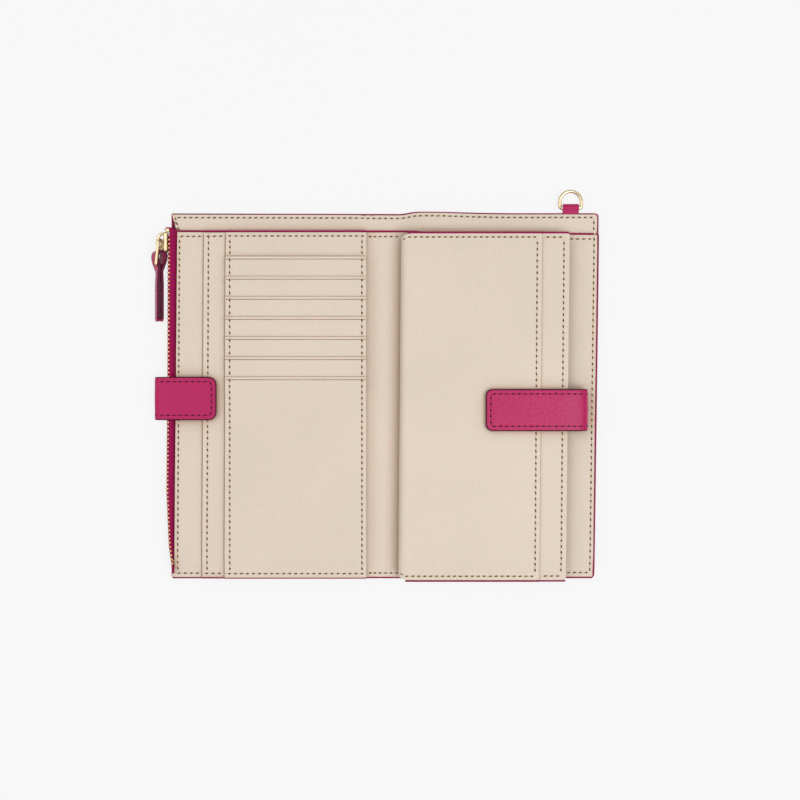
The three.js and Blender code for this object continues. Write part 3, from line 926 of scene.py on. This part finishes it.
def build_strap(name, lay, sides, tip, nodes, place):
    """A strap with its painted cut edge and its row of stitches."""
    low, high = sides
    middle = (low + high) / 2

    def crown(y):
        return 0.16 * math.cos(math.pi * (y - middle) / (high - low))

    def bent(co):
        base, _, normal = lay.at(co.x)
        height = co.z + crown(co.y) if co.z > STRAP / 2 else co.z
        return base + normal * height + Vector((0, co.y, 0))

    cuts = [lay.length * step / 70 for step in range(1, 70)]
    rows = [low + 1.0, low + 2.2, middle, high - 2.2, high - 1.0]
    outline = strap_outline(lay.length, low, high, tip, 0.42)
    piece = plate(f"{name}_leather", outline, 0.0, STRAP, "fuchsia", cuts, rows, 0.26, bent)
    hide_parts(*nodes)
    place(piece)

    edge = strap_outline(lay.length, low, high, tip, 0.36)
    points = []
    for start, end in zip(edge, edge[1:]):
        for s, y in divided(start, end, max(1, int(abs(end[0] - start[0]) / 0.7))):
            base, _, normal = lay.at(s)
            points.append(base + normal * STRAP * 0.5 + Vector((0, y, 0)))
    place(tube(f"{name}_paint", points, 0.46, "dark_paint_and_shade", sides=8, squash=1.45))

    seam = [(s, y, 0) for s, y in strap_outline(lay.length, low, high, tip * 0.6, 2.1)]
    # The dark beads are painted shade in the stitch holes; the others are the thread.
    for key, start, length, width, height, finish in (
        ("holes", 0.5, 1.35, 0.78, 0.07, "strap_hole_shade"), ("thread", 0.0, 1.5, 0.5, 0.14, "strap_thread")
    ):
        stitches = []
        for spot, along in along_path(seam, 2.75, start):
            base, tangent, normal = lay.at(spot.x)
            surface = base + normal * (STRAP + crown(spot.y)) + Vector((0, spot.y, 0))
            stitches.append((surface, tangent * along.x + Vector((0, along.y, 0)), normal))
        place(dashes(f"{name}_{key}", stitches, length, width, height, finish))


def build_straps():
    """Both straps bend back on themselves."""
    closure = Lay([(-96.2, 1.4), (-98.9, 1.4), (-100.7, 1.95), (-101.4, 3.35), (-100.8, 4.7), (-98.9, 5.25),
                   (-92.0, 5.35), (-84.0, 5.35), (-74.7, 5.3)], 1)

    def place_closure(obj):
        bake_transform(obj)

    nodes = ("closure_tab_wrap", "closure_tab_end")
    build_strap("closure_strap", closure, (-10.9, 8.4), 3.6, nodes, place_closure)

    pocket = Lay([(86.0, 4.5), (88.6, 4.7), (90.1, 5.6), (90.6, 7.1), (89.8, 8.5), (87.2, 9.4), (83.6, 10.0),
                  (79.5, 10.25), (64.0, 10.25), (46.1, 10.2)], -1)

    def place_pocket(obj):
        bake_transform(obj)

    nodes = ("pocket_tab_wrap", "pocket_tab_end")
    build_strap("pocket_strap", pocket, (-15.7, 2.9), 2.9, nodes, place_pocket)


# ---------------------------------------------------------------- zip

ZIP_LOW, ZIP_HIGH = -80.3, 75.2
TAPE_UNDER = 2.1  # height of the tape where it is sewn in below the base panel
TAPE_START = 0.8  # how far inside the teeth's outer faces the tape begins


def chain_x(y):
    """The tooth chain's outer face: nearly straight, drawn in at its lower end."""
    ys = (-84, -77, -68, -43, 7, 62, 76)
    xs = (-94.3, -95.1, -96.4, -97.5, -97.05, -96.85, -96.85)
    return float(np.interp(y, ys, xs))


def build_zip_tapes():
    width = 5.2
    outline = [(0, ZIP_LOW), (width, ZIP_LOW), (width, ZIP_HIGH), (0, ZIP_HIGH)]
    cuts = [0.4 * step for step in range(1, 13)]
    rows = [-80 + 4 * step for step in range(39)]

    def upper_lay(co):
        start = chain_x(co.y) + TAPE_START
        end = lean(BASE_LEFT, co.y) + 1.6
        t = co.x / width
        x = start + (end - start) * t
        dive = smooth(x, lean(BASE_LEFT, co.y) - 1.2, lean(BASE_LEFT, co.y))
        height = 4.78 - 1.6 * smooth(t, 0.05, 0.72)
        height += (TAPE_UNDER - height) * dive
        return (x, co.y, height + co.z)

    def lower_lay(co):
        t = co.x / width
        return (chain_x(co.y) + TAPE_START + 6.0 * t, co.y, 1.95 - 0.75 * smooth(t, 0.0, 0.3) + co.z * 0.8)

    for side, lay in (("upper", upper_lay), ("lower", lower_lay)):
        tape = plate(f"zip_tape_{side}_cloth", outline, 0, 0.32, "tape", cuts, rows, 0.1, lay)
        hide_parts(f"zip_tape_{side}")
        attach(tape, "left_panel")

    tail = [(-97.9, 74.9, 3.4), (-97.2, 75.3, 4.5), (-96.0, 75.3, 4.4), (-94.8, 74.9, 3.7)]
    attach(tube("zip_tape_end_cloth", tail, 0.7, "tape", squash=0.8), "left_panel")

    # A dark sheet painted in as shade: the zip pocket's mouth, between the lining and the cover, lies in
    # shadow there.
    mouth = [(-95.4, 73.6), (-93.9, 73.6), (-95.3, 81.2)]
    mouth_shade_sheet = plate("zip_pocket_mouth_shade", mouth, 1.12, 1.3, "dark_paint_and_shade", edge=0)
    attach(mouth_shade_sheet, "left_panel")


def add_lug(bm, section, stations):
    """One small metal lug: a section in Y and Z, run through stations (x, scale) about its middle."""
    middle = Vector((sum(y for y, _ in section), sum(z for _, z in section))) / len(section)
    rings = []
    for x, scale in stations:
        points = [middle + (Vector(point) - middle) * scale for point in section]
        rings.append([bm.verts.new((x, point.x, point.y)) for point in points])
    skin(bm, rings)


def tooth_section(y, side):
    """A tooth seen along X: a narrow root at the tape and a rounded head past the middle of the chain."""
    root, neck, end = ZIP_Z + side * 1.95, ZIP_Z + side * 0.5, ZIP_Z - side * 0.28
    head = ZIP_Z + side * 0.1
    half = [(0.4, root), (0.36, neck), (0.48, head), (0.3, end)]
    return [(y - dy, z) for dy, z in half] + [(y + dy, z) for dy, z in reversed(half)]


def build_zip_chain():
    pitch, count, first = 1.87, 79, -75.5
    for name, side, offset in (("upper", 1, 0.0), ("lower", -1, pitch / 2)):
        bm = bmesh.new()
        for index in range(count):
            y = first + offset + index * pitch
            x = chain_x(y)
            stations = ((x - 0.05, 0.75), (x + 0.17, 1.0), (x + 0.95, 1.0), (x + 1.15, 0.75))
            add_lug(bm, tooth_section(y, side), stations)
        teeth = to_object(f"zip_teeth_{name}", bm, "brass")
        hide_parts(f"zip_chain_{name}")
        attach(teeth, "left_panel")
        cord = [(chain_x(y) + 0.52, y, ZIP_Z + side * 1.3) for y in range(-80, 76, 4)]
        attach(tube(f"zip_cord_{name}", cord, 0.42, "tape"), "left_panel")

    bm = bmesh.new()
    stop = [(-77.8, ZIP_Z - 1.6), (-76.5, ZIP_Z - 1.6), (-76.5, ZIP_Z + 1.2), (-77.8, ZIP_Z + 1.2)]
    add_lug(bm, stop, ((-95.3, 0.8), (-95.15, 1.0), (-94.6, 1.0), (-94.45, 0.8)))
    clip = to_object("zip_bottom_stop_metal", bm, "gold")
    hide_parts("zip_bottom_stop")
    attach(clip, "left_panel")


def build_zip_slider():
    half, low = 2.8, 64.8
    face, back, inner = -98.75, -96.9, -97.85
    wall = 0.8
    upper = [(face + 0.15, half - 0.6), (face + 0.6, half), (back, half)]
    upper += [(back, half - wall), (inner, half - wall)]
    section = [(x, -z) for x, z in reversed(upper[:3])] + [(face, 0)] + upper
    section += [(x, -z) for x, z in reversed(upper[3:])]
    stations = [(0.0, 0.8), (0.35, 0.92), (1.2, 1.0), (5.5, 0.94), (8.2, 0.84), (8.75, 0.76), (9.0, 0.66)]
    bm = bmesh.new()
    skin(bm, [[bm.verts.new((x, low + along, ZIP_Z + z * width)) for x, z in section]
              for along, width in stations])
    bmesh.ops.recalc_face_normals(bm, faces=bm.faces[:])
    sharp = [edge for edge in bm.edges if len(edge.link_faces) == 2 and edge.calc_face_angle(0) > 0.9]
    bmesh.ops.bevel(bm, geom=sharp, offset=0.18, segments=2, profile=0.5, affect="EDGES", clamp_overlap=True)
    body = add_even_normals(to_object("zip_slider_metal", bm, "gold"))
    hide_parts("zip_slider")
    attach(body, "zip_slider")

    bow = []
    for step in range(25):
        angle = math.pi * step / 24
        bow.append((face + 0.2 - 3.2 * math.sin(angle) ** 0.7, 69.5 + 3.7 * math.cos(angle), ZIP_Z))
    bridge = tube("zip_bridge_metal", bow, 0.68, "gold", squash=1.1, sides=14)
    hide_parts("zip_bridge")
    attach(bridge, "zip_slider")


PULL_X = -100.35


def build_pull_link():
    """The flat metal link that stands on edge between the slider's bridge and the leather."""
    top, low, half, thick, rail = 70.95, 58.5, 3.2, 1.1, 0.95
    top_half = half * 0.85
    outer = rounded_outline([
        (-half, low, 1.6), (half, low, 1.6), (top_half, top, 1.8), (-top_half, top, 1.8),
    ])
    inner = rounded_outline([
        (-half + rail, low + 1.3, 0.8), (half - rail, low + 1.3, 0.8),
        (top_half - rail, top - 1.5, 0.8), (-top_half + rail, top - 1.5, 0.8),
    ])
    centre = Vector((0, (low + top) / 2))
    face = thick / 2

    def upright(co):
        return (PULL_X + co.z - 0.15 * co.x + 0.09 * (co.y - top), co.y, ZIP_Z + co.x)

    def ring_of(outline, z, shrink):
        points = []
        for x, y in outline:
            outward = (Vector((x, y)) - centre).normalized() * shrink
            points.append(bm.verts.new((x + outward.x, y + outward.y, z)))
        return points

    bm = bmesh.new()
    levels = [(-face, 0.18), (0.18 - face, 0.0), (face - 0.18, 0.0), (face, 0.18)]
    rings = [(ring_of(outer, z, -shrink), ring_of(inner, z, shrink)) for z, shrink in levels]
    for index in range(len(outer)):
        after = (index + 1) % len(outer)
        for first, second in zip(rings, rings[1:]):
            for a, b in zip(first, second):
                bm.faces.new((a[index], a[after], b[after], b[index]))
        for outside, inside in (rings[0], rings[-1]):
            bm.faces.new((outside[index], outside[after], inside[after], inside[index]))
    link = add_even_normals(to_object("zip_pull_link_metal", bm, "gold", upright))
    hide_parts("zip_pull_plate")
    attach(link, "zip_pull")


def pull_strap_line():
    """Half of the leather pull seen from above, as (reach, y): up one ply and round the eye to its top."""
    line = []
    tip, eye, steps = 33.6, 56.6, 26
    for step in range(steps + 1):
        y = tip + (eye - tip) * step / steps
        line.append((0.9 - 0.22 * smooth(y, 50, 56), y))
    for step in range(1, 17):
        t = step / 16
        reach = 1.95 * math.sin(math.pi * t ** 1.6) ** 0.85 + 0.68 * (1 - smooth(t, 0, 0.4))
        line.append((reach, 61.0 - 4.1 * math.cos(math.pi * t)))
    return line


def build_pull_strap():
    """A strap folded through the link, hanging with its painted cut edges uppermost."""
    centre_x, ply, half_width = -100.85, 1.3, 2.2
    half = pull_strap_line()
    points = [(centre_x - reach, y) for reach, y in half]
    points += [(centre_x + reach, y) for reach, y in half[-2::-1]]
    half_section = [(-0.5, -0.86), (-0.5, 0.86), (-0.36, 1.0), (0.36, 1.0)]
    section = half_section + [(-side, -z) for side, z in half_section]

    def tilted(co):
        """The pull hangs turned a little, most at its eye, so that its left face looks up."""
        lean_over = 0.42 + 0.3 * smooth(co.y, 55, 60)
        return (co.x + lean_over * (co.z - ZIP_Z), co.y, co.z)

    count = len(points)
    rings = []
    bm = bmesh.new()
    for index, (x, y) in enumerate(points):
        along = Vector(points[min(index + 1, count - 1)]) - Vector(points[max(index - 1, 0)])
        normal = Vector((-along.y, along.x)).normalized()
        rounding = 0.72 + 0.28 * smooth(min(index, count - 1 - index), 0, 3)
        rings.append([bm.verts.new((x + normal.x * side * ply, y + normal.y * side * ply,
                                    ZIP_Z + z * half_width * rounding)) for side, z in section])
    skin(bm, rings)
    strap = add_even_normals(to_object("zip_pull_strap_leather", bm, "fuchsia", tilted))
    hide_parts("zip_pull_leather")
    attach(strap, "zip_pull")
    for name, side in (("upper", 1), ("lower", -1)):
        edge = [tilted(Vector((x, y, ZIP_Z + side * half_width * 0.97))) for x, y in points[1:-1]]
        paint = tube(f"zip_pull_paint_{name}", edge, ply * 0.5, "dark_paint_and_shade", sides=10, squash=0.3)
        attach(paint, "zip_pull")


# ---------------------------------------------------------------- strap ring

def build_ring():
    x, bar_y, arch_y, z, arch, wire, corner = 85.1, 85.0, 87.7, 1.9, 4.87, 0.76, 1.0
    outline = arc(x, arch_y, arch, 0, math.pi, 32)
    for side, first in ((-1, math.pi), (1, 1.5 * math.pi)):
        outline += arc(x + side * (arch - corner), bar_y + corner, corner, first, math.pi / 2, 6)
    points = [(px, py, z) for px, py in outline]
    ring = tube("strap_ring_metal", points, wire, "gold", closed=True, sides=16)
    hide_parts("d_ring")
    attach(ring, "strap_ring")

    outer, half = 1.85, 3.6
    section = [(79.0, 0.72), (82.6, 0.6)]
    section += [(y, z + (h - z) * 0.92) for y, h in arc(bar_y, z, outer, -math.pi / 2, math.pi, 16)]
    section += [(82.6, 2.3), (79.0, 1.5)]
    bm = bmesh.new()
    rings = []
    for dx, shrink in ((-half, 0.9), (0.18 - half, 1.0), (half - 0.18, 1.0), (half, 0.9)):
        places = [(x + dx, bar_y + (y - bar_y) * shrink, z + (h - z) * shrink) for y, h in section]
        rings.append([bm.verts.new(place) for place in places])
    skin(bm, rings)
    loop = add_even_normals(to_object("ring_loop_leather", bm, "fuchsia"))
    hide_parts("d_ring_loop")
    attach(loop, "right_panel")


# ---------------------------------------------------------------- stitching

PROUD = 0.02  # stitches sit just clear of the leather


def sew_band():
    """The row below the wallet's upper rim, with its turn down each end."""
    inset = 2.1

    def on_band(x, y):
        return (x, y, wall_height(x) + wave(x, y) + PROUD)

    def row(steps):
        return [on_band(x, rim(x) - inset) for x in steps]

    sew("band_stitch_left", [row([-93.4, -90, -60, -30, -12, -9, -7, -5, -3, 0])], bend_left)
    steps = [0, 3, 5, 7] + [8 + step for step in range(18)] + [28, 32, 36, 40, 50, 60, 80, 95.6]
    sew("band_stitch_right", [row(steps)], bend_right)
    heights = [79.6, 78.4, 77.2, 76, 75, 74.4]
    corner = [on_band(-92.0 - 0.29 * (y - 74.4), y) for y in [81.2] + heights]
    sew("band_stitch_corner", [corner], riding("left_panel"))
    sew("band_stitch_end", [[on_band(95.5, y) for y in heights]], riding("right_panel"))


def on_board(x, y, z):
    return (x, y, z + board_sag(y) + PROUD)


def down_seam(x_ends, high, low, z, dip):
    """A seam down a leaning edge, which follows the panel's dips at both ends."""
    ys = [high, high - 2.5, high - 5, high - 8] + [low + offset for offset in (8, 6.5, 5, 3.5, 2, 0)]
    return [(lean(x_ends, y), y, z + dip(y) + PROUD) for y in ys]


def sew_left_board():
    top, low = 72.0, BOTTOM + 2.35
    lines = []
    for x0, x1, z in ((-92.0, -81.4, Z_BASE_LEFT), (-80.2, -71.6, Z_SLIP), (-70.2, -7.7, Z_CARD)):
        lines.append([on_board(x, top, z) for x in (x0, x1)])
    for x0, x1, z in ((-93.4, -82.3, Z_BASE_LEFT), (-80.9, -72.3, Z_SLIP), (-70.4, -7.9, Z_CARD + 0.45)):
        lines.append([on_board(x, low, z) for x in (x0, x1)])
    lines.append(down_seam((-92.6, -91.7), 71.0, low + 1.0, Z_BASE_LEFT, board_sag))
    lines.append(down_seam((-79.3, -78.5), 73.0, low + 1.0, Z_SLIP, board_sag))
    for x in (-68.8, -9.3):
        lines.append([on_board(x, y, Z_CARD) for y in (70.6, 68, 65.5, SLOT_FIRST + 0.6)])
        for index in range(SLOT_COUNT):
            mouth = slot_mouth(index)
            if index < SLOT_COUNT - 1:
                ys = (mouth - 0.3, mouth - SLOT_PITCH + 0.3)
            else:
                ys = [mouth - 0.3, mouth - 12] + [BOTTOM + offset for offset in (10, 8.5, 7, 5.5, 4, 3.3)]
            lines.append([(x, y, slot_height(index, y) + PROUD) for y in ys])
    sew("left_stitch", lines, riding("left_panel"))


def sew_spine():
    for side, bend, xs in (("left", bend_left, (-6.9, -3.3, 0)), ("right", bend_right, (0, 3.4, 7.6))):
        lines = [[(x, y, base_height(x) + base_sag(x, y) + PROUD) for x in xs] for y in (72.0, BOTTOM + 2.35)]
        sew(f"spine_stitch_{side}", lines, bend)


def sew_right_board():
    low = BOTTOM + 2.5
    side = down_seam((93.6, 95.6), 72.2, low, Z_BASE_RIGHT, board_sag)
    top = [on_board(x, 70.9, Z_BASE_RIGHT) for x in (84.0, 95.0)]
    foot = [on_board(x, low, Z_BASE_RIGHT) for x in (82.8, 93.4)]
    sew("right_stitch", [side, top, foot], riding("right_panel"), 2.8)


def sew_leaf():
    """Rows along both ends of the leaf, which turn down over its roll, and down its two open edges."""
    low, high = LEAF_BOTTOM + 2.1, LEAF_TOP - 2.0

    def draped(x, y):
        return leaf_drape(Vector((x, y, Z_LEAF_FRONT + PROUD)))

    end = LEAF_FRONT_RIGHT[0] - LEAF_LEFT[0] - ROLL - 1.9
    lines = [
        [draped(-2.6, high - 1.9), draped(-1.2, high - 0.7), draped(0.6, high), draped(end, high)],
        [draped(-2.6, low + 1.9), draped(-1.2, low + 0.7), draped(0.6, low), draped(end, low)],
    ]
    z = Z_LEAF_MIDDLE + PROUD
    for y, x0, x1 in ((high, 72.6, 81.0), (low, 71.4, 79.8)):
        lines.append([(x0, y, z + leaf_sag(y)), (x1, y, z + leaf_sag(y))])
    for x_ends, height in (((68.1, 69.2), Z_LEAF_FRONT), ((79.8, 81.2), Z_LEAF_MIDDLE)):
        lines.append(down_seam(x_ends, high - 1.4, low + 1.4, height, leaf_sag))
    sew("leaf_stitch", lines, riding("leaf"))


def build_snap_socket():
    """The closure strap's lower snap, set in the outside of the right cover with a rolled rim."""
    x, y, radius = 86.0, -1.25, 5.5
    circle = arc(x, y, radius, 0, 2 * math.pi, 48)[:-1]
    cap = plate("closure_snap_socket_metal", circle, -0.1, 0.5, "gold", edge=0.2)
    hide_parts("closure_snap_socket")
    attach(cap, "right_panel")
    rim_line = [(px, py, -0.06) for px, py in circle[::2]]
    ring = tube("closure_snap_socket_rim", rim_line, 0.3, "gold", closed=True, sides=8, squash=0.6)
    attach(ring, "right_panel")


def dress_cad_pieces():
    """CAD pieces whose plain shape is right stay, with finished materials."""
    for finish, nodes in (
        ("board", ("stiffener_left", "stiffener_right")),
        ("lining", ("zip_pocket_lining",)),
        ("fuchsia", ("closure_tab_base", "pocket_tab_base")),
        ("gold", ("closure_snap_cap", "pocket_snap_stud", "pocket_snap_cap", "zip_top_stop")),
    ):
        for node in nodes:
            keep(node, finish)


# ---------------------------------------------------------------- studio

def build_floor():
    """A softly glowing pale table, so that the object's shadows stay faint."""
    size, level, glow = 12000.0, -0.3, 0.815
    bm = bmesh.new()
    corners = ((-size, -size), (size, -size), (size, size), (-size, size))
    bm.faces.new([bm.verts.new((x, y, level)) for x, y in corners])
    n = Nodes("studio_floor")
    tint = n.ramp(n.noise(3.0), [(0.3, (0.115, 0.115, 0.115, 1)), (0.7, (0.12, 0.12, 0.12, 1))])
    rough = n.spread(n.noise(20.0), 0.8, 0.9)
    surface = n.bump(n.noise(400.0), 0.05, 0.0001)
    MATERIALS["floor"] = n.finish(tint, rough, surface, Specular_IOR_Level=0.0, Emission_Color=WHITE,
                                  Emission_Strength=glow)
    to_object("studio_floor", bm, "floor")


def build_sky():
    """Soft light from all round, strongest at mid height and weak straight overhead."""
    world = bpy.data.worlds.new("studio")
    bpy.context.scene.world = world
    world.use_nodes = True
    tree = world.node_tree
    background = tree.nodes["Background"]
    coords = tree.nodes.new("ShaderNodeTexCoord")
    split = tree.nodes.new("ShaderNodeSeparateXYZ")
    ramp = tree.nodes.new("ShaderNodeValToRGB")
    elements = ramp.color_ramp.elements
    while len(elements) < 4:
        elements.new(0.5)
    for element, (height, grey) in zip(elements, ((0.0, 0.4), (0.45, 1.0), (0.85, 0.85), (1.0, 0.4))):
        element.position = height
        element.color = (grey, grey, grey, 1)
    tree.links.new(coords.outputs["Generated"], split.inputs["Vector"])
    tree.links.new(split.outputs["Z"], ramp.inputs["Fac"])
    tree.links.new(ramp.outputs["Color"], background.inputs["Color"])
    background.inputs["Strength"].default_value = 0.5


def build_lamps():
    for name, place, size, power in (
        ("key", (0.62, -0.24, 1.4), 1.1, 14.2),
        ("fill", (-0.6, 0.1, 0.85), 1.0, 3.3),
    ):
        light = bpy.data.lights.new(name, "AREA")
        light.size = size
        light.energy = power
        lamp = bpy.data.objects.new(name, light)
        lamp.location = place
        lamp.rotation_euler = (-Vector(place)).to_track_quat("-Z", "Y").to_euler()
        bpy.context.scene.collection.objects.link(lamp)


def build_camera():
    """Looks straight down at the open wallet."""
    distance, view_width, sensor = 0.54, 0.3636, 36
    data = bpy.data.cameras.new("camera")
    data.sensor_width = sensor
    data.lens = sensor * distance / view_width
    camera = bpy.data.objects.new("camera", data)
    camera.location = (0.00782, -0.00191, distance)
    bpy.context.scene.collection.objects.link(camera)
    bpy.context.scene.camera = camera
    bpy.context.scene.view_settings.view_transform = "Standard"


for build in (
    build_cover, build_back_wall, build_base_panel, build_slips, build_card_slots,
    paint_cover_edges, paint_panel_edges, build_leaf, build_gussets, build_straps,
    build_zip_tapes, build_zip_chain, build_zip_slider, build_pull_link, build_pull_strap, build_ring,
    sew_band, sew_left_board, sew_spine, sew_right_board, sew_leaf,
    build_snap_socket, dress_cad_pieces, build_floor, build_sky, build_lamps, build_camera,
):
    build()
